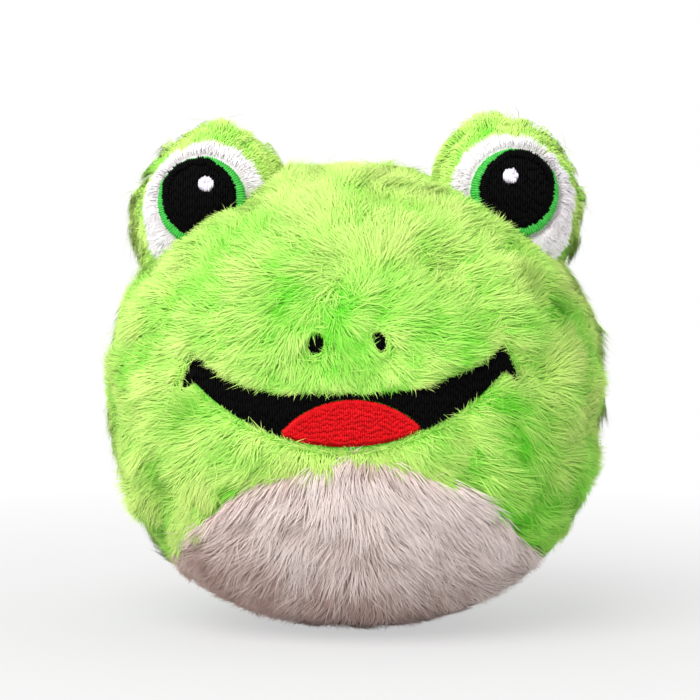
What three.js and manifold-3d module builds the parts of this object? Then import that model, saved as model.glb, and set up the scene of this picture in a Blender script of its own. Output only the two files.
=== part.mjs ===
// A round plush frog: one stuffed ball that is head and body at once, with two stuffed eye mounds.
// Millimetres, +Z up. The face looks towards -Y. The origin is the middle of the flat base.
// Left and right are the toy's own, so its left side is at +X.
import * as THREE from 'three';
import { mergeVertices } from 'three/addons/utils/BufferGeometryUtils.js';
import Module from 'manifold-3d';

const wasm = await Module();
wasm.setup();

const degree = Math.PI / 180;

// Body ball, measured over the pile
const bodyHalfWidth = 49;
const bodyHalfDepth = 46;
const bodyCrownRise = 45.5;
const bodyBaseDrop = 47;
const bodyFullnessPower = 2.1;
const seatDepth = 0.5;

// Cloth and clearances
const plushThickness = 5;
const seamGap = 0.3;

// Belly panel: a cone of directions about an axis that points down and forwards
const bellyAxisTilt = 68 * degree;
const bellySpread = 50 * degree;
const bellyEdgeStep = 30 * degree;
const bellyEdgeShares = [1.16, 1.06, 0.92, 0.89, 0.96, 1, 1];

// Side seam between the face panel and the back panels
const sideSeamSetBack = 4;

// Eye mounds, seated on the ball by two turns from its crown, a little off centre and uneven
const eyeTurnOutward = 37.75 * degree;
const eyeTurnForward = 4.8 * degree;
const eyeLift = 0.4;
const eyeOffset = 0.5;
const eyeSewnUnevenness = 0.8;
const eyeHalfWidth = 14.4;
const eyeHalfLength = 17.8;
const eyeHalfDepth = 13.5;
const eyeSplay = 25 * degree;
const eyeCoverThickness = 4;

// White eye patches, let into the front of the mounds
const eyeWhiteHalfWidth = 12.3;
const eyeWhiteHalfLength = 13.9;
const eyeWhiteOutward = 1;
const eyeWhiteDrop = 1.2;
const eyeWhiteRecess = 0.8;
const eyeWhiteSetForward = 3;

// Embroidered eyes: a green rim, a black pupil and a white highlight
const eyeStitchRecess = 1.2;
const eyeStitchThickness = 1.2;
const rimRadius = 8.7;
const rimOutward = 1.3;
const rimRaise = 1.6;
const pupilHalfWidth = 7.2;
const pupilHalfHeight = 7.3;
const pupilOutward = 1.75;
const pupilRaise = 2.3;
const highlightRadius = 1.5;
const highlightInward = 1.35;
const highlightRaise = 2.7;

// Embroidered face, sewn a little off centre and leaning
const stitchRecess = 1.6;
const stitchThickness = 1.2;
const faceOffset = -1.2;
const faceLean = 2.3 * degree;
const lipRise = 3.9;
const mouthHalfWidth = 31.6;
const mouthTickRise = 0.6;
const mouthTipHalfWidth = 29;
const mouthTipRise = 6.6;
const mouthNotchHalfWidth = 29.2;
const mouthNotchRise = 2;
const mouthDrop = 10.5;
const lipBendHalfWidth = 22;
const lipFlatHalfWidth = 8;
const lipBendDrop = 0.8;
const tongueHalfWidth = 13;
const tongueCornerDrop = 7.3;
const tongueTopDrop = 1.7;
const nostrilSpacing = 11.7;
const nostrilRise = 8.7;
const nostrilHalfWidth = 1.35;
const nostrilHalfHeight = 2.3;
const nostrilLean = 14 * degree;

// Hand-sewn closing seam, low in the centre back seam
const closingSeamLow = 20;
const closingSeamHigh = 44;
const closingStitchPitch = 3;
const closingStitchReach = 1.8;
const closingThreadThickness = 0.8;

// How finely the soft forms are faceted
const bodyFacets = 7;
const fillingFacets = 5;
const eyeFacets = 5;
const outlineSegments = 10;
const bellyEdgeSegments = 36;

// Every cutting block and outline runs this far, which is past the whole toy
const overrun = 3 * bodyHalfWidth;

const bodyCentre = new THREE.Vector3(0, 0, bodyBaseDrop - seatDepth);
const body = {
  centre: bodyCentre,
  halfWidth: bodyHalfWidth,
  halfDepth: bodyHalfDepth,
  rise: bodyCrownRise,
  drop: bodyBaseDrop,
  splay: 0,
  facets: bodyFacets,
};

// How far the surface of a soft form lies from its centre in a direction.
function surfaceReach(ball, direction, inset = 0) {
  const tall = direction.z > 0 ? ball.rise : ball.drop;
  const reach = new THREE.Vector3(ball.halfWidth, ball.halfDepth, tall).subScalar(inset);
  const swell = direction.clone().divide(reach).toArray()
    .reduce((sum, share) => sum + Math.abs(share) ** bodyFullnessPower, 0);
  return swell ** (-1 / bodyFullnessPower);
}

function eyeMound(side) {
  const direction = new THREE.Vector3(
    side * Math.sin(eyeTurnOutward),
    -Math.sin(eyeTurnForward),
    Math.cos(eyeTurnOutward),
  ).normalize();
  const seat = direction.clone().multiplyScalar(surfaceReach(body, direction) + eyeLift);
  const unevenness = new THREE.Vector3(eyeOffset, 0, side * eyeSewnUnevenness);
  return {
    centre: seat.add(bodyCentre).add(unevenness),
    halfWidth: eyeHalfWidth,
    halfDepth: eyeHalfDepth,
    rise: eyeHalfLength,
    drop: eyeHalfLength,
    splay: side * eyeSplay,
    facets: eyeFacets,
  };
}

const sides = [
  { name: 'left', side: 1, ball: eyeMound(1) },
  { name: 'right', side: -1, ball: eyeMound(-1) },
];

// A closed mesh becomes a solid once its shared corners are merged.
function solidOf(geometry) {
  const bare = geometry.clone();
  bare.deleteAttribute('normal');
  bare.deleteAttribute('uv');
  const merged = mergeVertices(bare);
  return new wasm.Manifold(new wasm.Mesh({
    numProp: 3,
    vertProperties: new Float32Array(merged.attributes.position.array),
    triVerts: new Uint32Array(merged.index.array),
  }));
}

function geometryOf(solid) {
  const mesh = solid.getMesh();
  const geometry = new THREE.BufferGeometry();
  geometry.setAttribute('position', new THREE.BufferAttribute(mesh.vertProperties, 3));
  geometry.setIndex(new THREE.BufferAttribute(mesh.triVerts, 1));
  geometry.computeVertexNormals();
  return geometry;
}

// A stuffed form swells a little fuller than an ellipsoid. Its skin is taken in by the inset.
function softForm(ball, inset, facets = ball.facets) {
  const form = new THREE.IcosahedronGeometry(1, facets);
  const corners = form.attributes.position;
  const corner = new THREE.Vector3();
  for (let i = 0; i < corners.count; i += 1) {
    corner.fromBufferAttribute(corners, i).normalize();
    corner.multiplyScalar(surfaceReach(ball, corner, inset));
    corners.setXYZ(i, corner.x, corner.y, corner.z);
  }
  form.rotateY(-ball.splay);
  form.translate(ball.centre.x, ball.centre.y, ball.centre.z);
  return solidOf(form);
}

// The layer of a soft form between two depths under its surface.
function layer(ball, outerInset, innerInset) {
  return softForm(ball, outerInset).subtract(softForm(ball, innerInset));
}

// A block from one corner to the other.
function block(low, high) {
  const size = high.clone().sub(low);
  const middle = high.clone().add(low).multiplyScalar(0.5);
  const box = new THREE.BoxGeometry(size.x, size.y, size.z);
  return solidOf(box.translate(middle.x, middle.y, middle.z));
}

// An outline drawn as the viewer sees the face, pushed forwards from one depth.
function throughFront(outline, { x, z, lean = 0, startsAt = 0 }) {
  const prism = new THREE.ExtrudeGeometry(outline, {
    depth: overrun,
    bevelEnabled: false,
    curveSegments: outlineSegments,
  });
  prism.rotateX(Math.PI / 2);
  prism.rotateY(-lean);
  prism.translate(x, startsAt, z);
  return solidOf(prism);
}

function ellipse(halfWidth, halfHeight, across = 0, up = 0) {
  return new THREE.Shape()
    .absellipse(across, up, halfWidth, halfHeight, 0, 2 * Math.PI, false, 0);
}

// The belly's edge is a smooth loop of directions around the belly axis.
function bellyCone(letOut) {
  const axis = new THREE.Vector3(0, -Math.cos(bellyAxisTilt), -Math.sin(bellyAxisTilt));
  const forwards = new THREE.Vector3(0, -Math.sin(bellyAxisTilt), Math.cos(bellyAxisTilt));
  const sideways = new THREE.Vector3(1, 0, 0);
  const halfLoop = bellyEdgeShares.map((share, i) => ({ share, turn: i * bellyEdgeStep }));
  const otherHalf = halfLoop.slice(1, -1).reverse().map(({ share, turn }) => ({ share, turn: -turn }));
  const loop = new THREE.CatmullRomCurve3(
    [...halfLoop, ...otherHalf].map(({ share, turn }) => (
      new THREE.Vector3(Math.cos(turn), Math.sin(turn), 0).multiplyScalar(share * bellySpread)
    )),
    true,
  );
  const letOutAngle = letOut / bodyHalfWidth;
  const rim = loop.getPoints(bellyEdgeSegments).slice(0, -1).map((place) => {
    const spread = place.length() + letOutAngle;
    const outwards = forwards.clone().multiplyScalar(place.x / place.length())
      .addScaledVector(sideways, place.y / place.length());
    return axis.clone().multiplyScalar(Math.cos(spread)).addScaledVector(outwards, Math.sin(spread));
  });
  const points = [new THREE.Vector3(), axis, ...rim]
    .map((direction) => direction.clone().multiplyScalar(overrun).add(bodyCentre));
  const faces = rim.flatMap((_, i) => {
    const here = 2 + i;
    const next = 2 + ((i + 1) % rim.length);
    return [0, here, next, 1, next, here];
  });
  const cone = new THREE.BufferGeometry().setFromPoints(points);
  cone.setIndex(faces);
  return solidOf(cone);
}

// The open smiling mouth, with a sewn tick across each corner, let out by a margin all round.
function mouthOutline(margin = 0) {
  const tip = new THREE.Vector2(mouthTipHalfWidth + margin, mouthTipRise + margin);
  const tick = new THREE.Vector2(mouthHalfWidth + margin, mouthTickRise - 2 * margin);
  const notch = new THREE.Vector2(mouthNotchHalfWidth, mouthNotchRise - margin);
  const lip = margin;
  const chin = smileArc(margin);
  const outline = new THREE.Shape();
  outline.moveTo(-tip.x, tip.y);
  outline.lineTo(-tick.x, tick.y);
  outline.lineTo(-notch.x, notch.y);
  outline.absarc(0, chin.centre, chin.radius, Math.PI + chin.start, 2 * Math.PI - chin.start, false);
  outline.lineTo(notch.x, notch.y);
  outline.lineTo(tick.x, tick.y);
  outline.lineTo(tip.x, tip.y);
  outline.bezierCurveTo(lipBendHalfWidth, lip - lipBendDrop, lipFlatHalfWidth, lip, 0, lip);
  outline.bezierCurveTo(-lipFlatHalfWidth, lip, -lipBendHalfWidth, lip - lipBendDrop, -tip.x, tip.y);
  return outline;
}

function arcRadius(halfChord, sag) {
  return (halfChord ** 2 + sag ** 2) / (2 * sag);
}

// The smile's lower edge is one arc through both notches and the lowest point.
function smileArc(margin) {
  const radius = arcRadius(mouthNotchHalfWidth, mouthDrop + mouthNotchRise);
  const centre = radius - mouthDrop;
  const start = Math.asin((centre - mouthNotchRise) / radius);
  return { centre, radius: radius + margin, start };
}

// The tongue fills the bottom of the smile under an arc of its own.
function tongueOutline(margin = 0) {
  const radius = arcRadius(tongueHalfWidth, tongueCornerDrop - tongueTopDrop);
  const centre = -tongueTopDrop - radius;
  const start = Math.asin((-tongueCornerDrop - centre) / radius);
  const chin = smileArc(0);
  const chinStart = Math.acos(tongueHalfWidth / chin.radius);
  const outline = new THREE.Shape();
  outline.absarc(0, centre, radius + margin, start, Math.PI - start, false);
  outline.absarc(0, chin.centre, chin.radius + margin, Math.PI + chinStart, 2 * Math.PI - chinStart, false);
  return outline;
}

// A zigzag of ladder stitches, drawn as the seam runs upwards.
function ladderStitchOutline() {
  const halfThread = closingThreadThickness / 2;
  const stitches = Math.round((closingSeamHigh - closingSeamLow) / closingStitchPitch);
  const turns = Array.from({ length: stitches + 1 }, (_, i) => ({
    x: (i % 2 ? 1 : -1) * closingStitchReach,
    z: i * closingStitchPitch,
  }));
  const rising = turns.map(({ x, z }) => new THREE.Vector2(x + halfThread, z));
  const falling = turns.map(({ x, z }) => new THREE.Vector2(x - halfThread, z)).reverse();
  return new THREE.Shape([...rising, ...falling]);
}

// Cloth colours and finishes
function cloth(color, roughness = 0.9) {
  return new THREE.MeshStandardMaterial({ color, roughness, metalness: 0 });
}

const greenPlush = () => cloth('#93f25a', 0.95);
const whitePlush = () => cloth('#f3e6ea', 0.95);
const greenThread = () => cloth('#3fb845', 0.6);
const blackThread = () => cloth('#0d0d10', 0.6);
const redThread = () => cloth('#e8192c', 0.6);
const whiteThread = () => cloth('#f1e9f8', 0.6);
const filling = () => cloth('#f4f4f0', 1);

const frog = new THREE.Group();

function addPiece(name, solid, material) {
  const piece = new THREE.Mesh(geometryOf(solid), material);
  piece.name = name;
  frog.add(piece);
}

const lipHeight = bodyCentre.z + lipRise;
const facePlace = { x: faceOffset, z: lipHeight, lean: faceLean };
const stitchFloor = stitchRecess + stitchThickness;

// A place measured from the middle of the upper lip, in the leaning face.
function onFace(across, up, lean = 0) {
  const place = new THREE.Vector2(across, up).rotateAround(new THREE.Vector2(), faceLean);
  return { x: faceOffset + place.x, z: lipHeight + place.y, lean: faceLean + lean };
}

function nostrilPrism(side, margin = 0) {
  const outline = ellipse(nostrilHalfWidth + margin, nostrilHalfHeight + margin);
  return throughFront(outline, onFace((side * nostrilSpacing) / 2, nostrilRise, side * nostrilLean));
}

// The stitching is sunk in pockets, where the needle has pulled the pile down.
function stitchPockets() {
  const openings = sides.reduce(
    (joined, { side }) => joined.add(nostrilPrism(side, seamGap)),
    throughFront(mouthOutline(seamGap), facePlace),
  );
  return openings.subtract(softForm(body, stitchFloor + seamGap));
}

// The body's cover is cut into four panels, which meet at the belly seam and the side seam.
function bodyPanels() {
  const halfGap = seamGap / 2;
  const cover = layer(body, 0, plushThickness);
  const belowSeat = block(
    new THREE.Vector3(-overrun, -overrun, -overrun),
    new THREE.Vector3(overrun, overrun, 0),
  );
  const green = cover.subtract(bellyCone(halfGap));
  const front = block(
    new THREE.Vector3(-overrun, -overrun, -overrun),
    new THREE.Vector3(overrun, sideSeamSetBack - halfGap, overrun),
  );
  addPiece('face_panel', green.intersect(front).subtract(stitchPockets()), greenPlush());
  const channel = closingChannel();
  sides.forEach(({ name, side }) => {
    const half = [side * halfGap, side * overrun].sort((a, b) => a - b);
    const back = block(
      new THREE.Vector3(half[0], sideSeamSetBack + halfGap, -overrun),
      new THREE.Vector3(half[1], overrun, overrun),
    );
    addPiece(`${name}_back_panel`, green.intersect(back).subtract(channel), greenPlush());
  });
  addPiece('belly_panel', cover.intersect(bellyCone(-halfGap)).subtract(belowSeat), whitePlush());
  addPiece('body_filling', softForm(body, plushThickness + seamGap, fillingFacets), filling());
}

// The ladder stitches lie in a shallow channel along the centre back seam.
function closingChannel() {
  const halfWidth = closingStitchReach + closingThreadThickness + seamGap;
  const run = block(
    new THREE.Vector3(-halfWidth, 0, closingSeamLow - closingThreadThickness - seamGap),
    new THREE.Vector3(halfWidth, overrun, closingSeamHigh + closingThreadThickness + seamGap),
  );
  return run.subtract(softForm(body, stitchFloor + seamGap));
}

function closingSeam() {
  const prism = throughFront(ladderStitchOutline(), { x: 0, z: closingSeamLow, startsAt: overrun });
  const behind = block(new THREE.Vector3(-overrun, 0, 0), new THREE.Vector3(overrun, overrun, overrun));
  const thread = layer(body, stitchFloor - closingThreadThickness, stitchFloor);
  addPiece('closing_seam_thread', thread.intersect(prism).intersect(behind), greenThread());
}

function faceEmbroidery() {
  const sewn = layer(body, stitchRecess, stitchFloor);
  const mouth = sewn.intersect(throughFront(mouthOutline(), facePlace));
  const tongueRoom = throughFront(tongueOutline(seamGap), facePlace);
  addPiece('mouth', mouth.subtract(tongueRoom), blackThread());
  addPiece('tongue', sewn.intersect(throughFront(tongueOutline(), facePlace)), redThread());
  sides.forEach(({ name, side }) => {
    addPiece(`${name}_nostril`, sewn.intersect(nostrilPrism(side)), blackThread());
  });
}

// Each eye mound is a stuffed cap of plush with a white patch let into its front.
function eye({ name, side, ball }) {
  const { x, y, z } = ball.centre;
  const beyondBody = (solid) => solid.subtract(softForm(body, -seamGap));
  const patch = (margin) => throughFront(
    ellipse(
      eyeWhiteHalfWidth + margin,
      eyeWhiteHalfLength + margin,
      side * eyeWhiteOutward,
      -eyeWhiteDrop,
    ),
    { x, z, lean: ball.splay, startsAt: y - eyeWhiteSetForward + margin },
  );
  const disc = (halfWidth, halfHeight, outward, raise) => throughFront(
    ellipse(halfWidth, halfHeight),
    { x: x + side * outward, z: z + raise, startsAt: y },
  );
  const rim = (margin) => disc(rimRadius + margin, rimRadius + margin, rimOutward, rimRaise);
  const pupil = (margin) => (
    disc(pupilHalfWidth + margin, pupilHalfHeight + margin, pupilOutward, pupilRaise)
  );
  const highlight = (margin) => disc(
    highlightRadius + margin,
    highlightRadius + margin,
    pupilOutward - highlightInward,
    pupilRaise + highlightRaise,
  );
  const floor = eyeStitchRecess + eyeStitchThickness;
  const sewn = layer(ball, eyeStitchRecess, floor);
  const pocket = rim(seamGap).subtract(softForm(ball, floor + seamGap));
  const cover = layer(ball, 0, eyeCoverThickness);
  const white = layer(ball, eyeWhiteRecess, eyeCoverThickness);

  addPiece(`${name}_eye_mound`, beyondBody(cover.subtract(patch(seamGap))), greenPlush());
  addPiece(`${name}_eye_filling`, beyondBody(softForm(ball, eyeCoverThickness + seamGap)), filling());
  addPiece(`${name}_eye_white`, beyondBody(white.intersect(patch(0)).subtract(pocket)), whitePlush());
  addPiece(`${name}_eye_rim`, beyondBody(sewn.intersect(rim(0)).subtract(pupil(seamGap))), greenThread());
  addPiece(
    `${name}_pupil`,
    beyondBody(sewn.intersect(pupil(0)).subtract(highlight(seamGap))),
    blackThread(),
  );
  addPiece(`${name}_highlight`, sewn.intersect(highlight(0)), whiteThread());
}

bodyPanels();
closingSeam();
faceEmbroidery();
sides.forEach(eye);

export default frog;
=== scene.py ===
# %% [markdown]
# # A plush frog
# The frog is one stuffed ball, head and body at once, with two stuffed eye mounds sewn on top.
# Long green pile covers it, a pale panel runs underneath, and the face is machine embroidery.
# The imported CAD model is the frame: each piece below is made in its place and stands for its node.

import math

import bmesh
import bpy
import numpy as np
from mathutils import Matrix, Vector
from mathutils.kdtree import KDTree


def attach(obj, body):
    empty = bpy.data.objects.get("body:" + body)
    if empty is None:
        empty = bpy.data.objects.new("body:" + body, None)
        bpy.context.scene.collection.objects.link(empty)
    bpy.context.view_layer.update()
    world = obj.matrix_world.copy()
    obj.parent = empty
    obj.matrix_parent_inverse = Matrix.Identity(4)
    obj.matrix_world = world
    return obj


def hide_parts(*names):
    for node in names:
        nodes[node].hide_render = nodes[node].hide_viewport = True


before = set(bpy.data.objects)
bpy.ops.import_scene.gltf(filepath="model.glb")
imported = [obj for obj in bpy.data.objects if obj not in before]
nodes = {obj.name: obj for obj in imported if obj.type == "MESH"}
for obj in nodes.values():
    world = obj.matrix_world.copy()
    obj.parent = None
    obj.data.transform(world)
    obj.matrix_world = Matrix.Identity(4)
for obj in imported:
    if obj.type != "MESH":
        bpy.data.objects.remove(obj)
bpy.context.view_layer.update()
print("nodes in the frame:", len(nodes))

# %% [markdown]
# The script works in millimetres, as a pattern maker does, and a mesh is scaled to metres when it is
# made. Everything random comes from one seeded generator, so each run gives the same frog.

# %% Units and chance
MM = 0.001
chance = np.random.default_rng(20)


def unit(vectors):
    """The same vectors, each one long."""
    return vectors / np.linalg.norm(vectors, axis=-1, keepdims=True)


# %% [markdown]
# ## The stuffed forms
# A stuffed ball is a little fuller than an ellipsoid, so its surface follows a power slightly above 2.
# One class holds such a form. It gives points on the surface at any depth, the way outwards there, and
# the point that lies behind a spot of the front view, which is where embroidery is laid out.

# %% A stuffed form
FULLNESS = 2.1


class Stuffed:
    """A stuffed form in millimetres, turned by its splay in the front view."""

    def __init__(self, middle, half_width, half_depth, rise, drop, splay=0.0):
        self.middle = np.array(middle, float)
        self.half_width, self.half_depth, self.rise, self.drop = half_width, half_depth, rise, drop
        c, s = math.cos(splay), math.sin(splay)
        self.turn = np.array([[c, 0, -s], [0, 1, 0], [s, 0, c]])

    def halves(self, local, inset=0.0):
        tall = np.where(local[:, 2] > 0, self.rise, self.drop)
        flat = np.ones_like(tall)
        reaches = np.stack([flat * self.half_width, flat * self.half_depth, tall], 1)
        return reaches - np.reshape(inset, (-1, 1))

    def reach(self, ways, inset=0.0):
        return (np.abs(ways / self.halves(ways, inset)) ** FULLNESS).sum(1) ** (-1 / FULLNESS)

    def shell(self, ways, inset=0.0):
        """Points on the surface in the given directions of the form itself."""
        return (ways * self.reach(ways, inset)[:, None]) @ self.turn.T + self.middle

    def depth(self, points):
        """How deep points lie under the surface, negative outside it."""
        local = (points - self.middle) @ self.turn
        return self.reach(unit(local)) - np.linalg.norm(local, axis=1)

    def onto(self, points, inset):
        """The points moved straight out or in to one depth."""
        return self.shell(unit((points - self.middle) @ self.turn), inset)

    def outward(self, points):
        local = (points - self.middle) @ self.turn
        halves = self.halves(local)
        slope = np.sign(local) * np.abs(local / halves) ** (FULLNESS - 1) / halves
        return unit(slope @ self.turn.T)

    def front(self, spots, inset=0.0, side=-1):
        """Points on the front surface behind spots (across, up) of the front view."""
        flat = np.stack([spots[:, 0], np.zeros(len(spots)), spots[:, 1]], 1)
        local = (flat - self.middle * (1, 0, 1)) @ self.turn
        halves = self.halves(local, inset)
        left = 1 - (np.abs(local / halves) ** FULLNESS)[:, [0, 2]].sum(1)
        local[:, 1] = side * halves[:, 1] * np.clip(left, 0, 1) ** (1 / FULLNESS)
        return local @ self.turn.T + self.middle


# %% The ball and the two eye mounds
# A form's size is its half width and half depth, and how far it rises and drops from its middle.
BALL_MIDDLE, BALL_SIZE, EYE_SIZE = (0, 0, 46.5), (49, 46, 45.5, 47), (14.4, 13.5, 17.8, 17.8)
EYE_TURN_OUTWARD, EYE_TURN_FORWARD = math.radians(37.75), math.radians(4.8)
EYE_LIFT, EYE_OFFSET, EYE_UNEVENNESS, EYE_SPLAY = 0.4, 0.5, 0.8, math.radians(25)
ball = Stuffed(BALL_MIDDLE, *BALL_SIZE)
SIDES = {"left": 1, "right": -1}


def eye_mound(side):
    """A mound sits on the ball, turned outwards from the crown. The left one is sewn a little higher."""
    way = unit(np.array([[side * math.sin(EYE_TURN_OUTWARD), -math.sin(EYE_TURN_FORWARD),
                          math.cos(EYE_TURN_OUTWARD)]]))
    seat = way[0] * (ball.reach(way)[0] + EYE_LIFT) + ball.middle
    seat += (EYE_OFFSET, 0, side * EYE_UNEVENNESS)
    return Stuffed(seat, *EYE_SIZE, side * EYE_SPLAY)


mounds = {name: eye_mound(side) for name, side in SIDES.items()}
for name, mound in mounds.items():
    print(name, "mound's middle, mm:", mound.middle.round(1))

# %% [markdown]
# ## Where one piece ends and the next begins
# A panel's shape is a distance to its seams, negative inside. The belly's seam is a loop of directions
# around an axis that points down and forwards, as the CAD has it. The side seam is a plane.

# %% Seams
SIDE_SEAM_Y = 4.0
BELLY_TILT, BELLY_SPREAD, BELLY_STEP = math.radians(68), math.radians(50), math.radians(30)
BELLY_SHARES = (1.16, 1.06, 0.92, 0.89, 0.96, 1, 1)
belly_axis = np.array([0, -math.cos(BELLY_TILT), -math.sin(BELLY_TILT)])
belly_forwards = np.array([0, -math.sin(BELLY_TILT), math.cos(BELLY_TILT)])


def to_belly(points):
    """How far points lie outside the belly seam, along the surface."""
    away = points - ball.middle
    ways = unit(away)
    spread = np.arccos(np.clip(ways @ belly_axis, -1, 1))
    turn = np.abs(np.arctan2(ways[:, 0], ways @ belly_forwards))
    steps = np.arange(len(BELLY_SHARES)) * BELLY_STEP
    edge = np.interp(turn, steps, BELLY_SHARES) * BELLY_SPREAD
    return (spread - edge) * np.linalg.norm(away, axis=1)


def to_face_panel(points):
    return np.maximum(points[:, 1] - SIDE_SEAM_Y, -to_belly(points))


def to_back_panel(side):
    return lambda points: np.maximum.reduce(
        [SIDE_SEAM_Y - points[:, 1], -side * points[:, 0], -to_belly(points)])


# %% [markdown]
# ## The embroidered shapes
# The mouth, the tongue and the nostrils are flat outlines in the front view, measured from the middle
# of the upper lip. The face is sewn a little off centre and leans, so one pair of helpers goes to and
# fro between the face and the frog.

# %% The face's own ruler
FACE_OFFSET, LIP_HEIGHT, FACE_LEAN = -1.2, 50.4, math.radians(2.3)
LIP_MIDDLE = np.array([FACE_OFFSET, LIP_HEIGHT])


def rotation(angle):
    c, s = math.cos(angle), math.sin(angle)
    return np.array([[c, -s], [s, c]])


def from_face(spots):
    """Front-view places of spots measured on the face."""
    return spots @ rotation(FACE_LEAN).T + LIP_MIDDLE


def to_face(points):
    """Spots on the face of points of the frog."""
    return (points[:, [0, 2]] - LIP_MIDDLE) @ rotation(FACE_LEAN)


# %% Outlines
MOUTH_DROP = 10.5
MOUTH_TIP, MOUTH_TICK, MOUTH_NOTCH = (28.8, 7.6), (32.1, -0.3), (29.0, 2)
LIP_BEND, LIP_FLAT = (22, -0.8), (8, 0)
TONGUE_HALF_WIDTH, TONGUE_CORNER, TONGUE_TOP = 13, -7.3, -1.7
NOSTRIL_SPACING, NOSTRIL_RISE, NOSTRIL_LEAN = 11.7, 8.7, math.radians(14)
NOSTRIL_HALVES = (1.35, 2.3)
SEWN_FRONT, SEWN_LOW, SEWN_HIGH = -15, 28, 72


def arc(middle, radius, start, end, steps=30):
    turns = np.linspace(start, end, steps)
    return np.stack([np.cos(turns), np.sin(turns)], 1) * radius + middle


def arc_radius(half_chord, sag):
    return (half_chord ** 2 + sag ** 2) / (2 * sag)


def chin_arc(half_width):
    """The mouth's lower edge, as far as a half width to each side."""
    radius = arc_radius(MOUTH_NOTCH[0], MOUTH_DROP + MOUTH_NOTCH[1])
    start = math.acos(half_width / radius)
    return arc((0, radius - MOUTH_DROP), radius, math.pi + start, 2 * math.pi - start)


def tongue_arc(inset=0.0, ease=0.0, steps=30):
    """The tongue's upper edge, or a line inside it that stops a little short of its corners."""
    radius = arc_radius(TONGUE_HALF_WIDTH, TONGUE_TOP - TONGUE_CORNER)
    middle = TONGUE_TOP - radius
    start = math.asin((TONGUE_CORNER - middle) / radius) + ease
    return arc((0, middle), radius - inset, start, math.pi - start, steps)


def mouth_outline():
    """An open smile with a tick across each corner."""
    t = np.linspace(0, 1, 20)[:, None]
    lip = ((1 - t) ** 3 * np.array(MOUTH_TIP) + 3 * t * (1 - t) ** 2 * np.array(LIP_BEND)
           + 3 * t * t * (1 - t) * np.array(LIP_FLAT))
    mirror = np.array((-1, 1))
    return np.concatenate([[np.array(MOUTH_TIP) * mirror, np.array(MOUTH_TICK) * mirror],
                           chin_arc(MOUTH_NOTCH[0]), [MOUTH_TICK], lip, lip[-2::-1] * mirror])[:-1]


def ellipse(middle, halves, lean=0.0, steps=40):
    return arc((0, 0), 1, 0, 2 * math.pi, steps + 1)[:-1] * halves @ rotation(lean).T + middle


def nostril_outline(side):
    place = (side * NOSTRIL_SPACING / 2, NOSTRIL_RISE)
    return ellipse(place, NOSTRIL_HALVES, side * NOSTRIL_LEAN)


def from_edge(outline, spots):
    """How far spots lie outside a closed outline, negative inside it."""
    ends = np.roll(outline, -1, 0)
    runs = ends - outline
    answer = []
    for some in np.array_split(spots, max(1, len(spots) // 4000)):
        gap = some[:, None, :] - outline
        along = np.clip((gap * runs).sum(-1) / (runs ** 2).sum(-1), 0, 1)
        near = np.linalg.norm(gap - along[..., None] * runs, axis=-1).min(1)
        between = (outline[:, 1] > some[:, None, 1]) != (ends[:, 1] > some[:, None, 1])
        crossing = outline[:, 0] + gap[..., 1] * runs[:, 0] / np.where(runs[:, 1] == 0, 1, runs[:, 1])
        inside = (between & (some[:, None, 0] < crossing)).sum(1) % 2 == 1
        answer.append(np.where(inside, -near, near))
    return np.concatenate(answer)


mouth = mouth_outline()
tongue = np.concatenate([tongue_arc(), chin_arc(TONGUE_HALF_WIDTH)])
nostrils = {name: nostril_outline(side) for name, side in SIDES.items()}


def to_embroidery(points):
    """How far points lie outside the embroidery of the face, as seen from the front, where that is near."""
    gap = np.full(len(points), np.inf)
    near = (points[:, 1] < SEWN_FRONT) & (points[:, 2] > SEWN_LOW) & (points[:, 2] < SEWN_HIGH)
    spots = to_face(points[near])
    if len(spots):
        gap[near] = np.minimum.reduce([from_edge(shape, spots) for shape in (mouth, *nostrils.values())])
    return gap


# %% Eye shapes
EYE_WHITE_HALVES, EYE_WHITE_PLACE, EYE_WHITE_FORWARD = (12.3, 13.9), (1.0, -1.2), 3.0
RIM_RADIUS, RIM_PLACE = 8.7, (1.3, 1.6)
PUPIL_HALVES, PUPIL_PLACE = (7.2, 7.3), (1.75, 2.3)
HIGHLIGHT_RADIUS, HIGHLIGHT_PLACE = 1.5, (0.4, 5.0)


def eye_middle(name, place=(0, 0)):
    """A place of the front view, measured outwards and up from the middle of a mound."""
    return mounds[name].middle[[0, 2]] + (SIDES[name] * place[0], place[1])


def patch_outline(name, side):
    """The white patch is let in along the mound's own splay, a little outwards and down."""
    place = rotation(side * EYE_SPLAY) @ (np.array(EYE_WHITE_PLACE) * (side, 1))
    return ellipse(eye_middle(name) + place, EYE_WHITE_HALVES, side * EYE_SPLAY)


eye_patches = {name: patch_outline(name, side) for name, side in SIDES.items()}
eye_rims = {name: ellipse(eye_middle(name, RIM_PLACE), (RIM_RADIUS, RIM_RADIUS)) for name in SIDES}


def to_patch(name):
    """How far points lie outside the white patch of an eye."""
    return lambda points: np.maximum(
        from_edge(eye_patches[name], points[:, [0, 2]]),
        points[:, 1] - (mounds[name].middle[1] - EYE_WHITE_FORWARD))


# %% [markdown]
# ## Finishes
# Materials are built with one small class. Node sums are written as Python sums, and any other node
# comes from one method that takes its type, its settings and its sockets.

# %% A finish and its sums
class Value:
    """A socket of a finish. Sums on it add Math nodes."""

    def __init__(self, finish, socket):
        self.finish, self.socket = finish, socket

    def sum(self, operation, first, second):
        return self.finish.node("ShaderNodeMath", {"operation": operation}, {0: first, 1: second})

    def __add__(self, other):
        return self.sum("ADD", self, other)

    def __rsub__(self, other):
        return self.sum("SUBTRACT", other, self)

    def __mul__(self, other):
        return self.sum("MULTIPLY", self, other)


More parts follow.
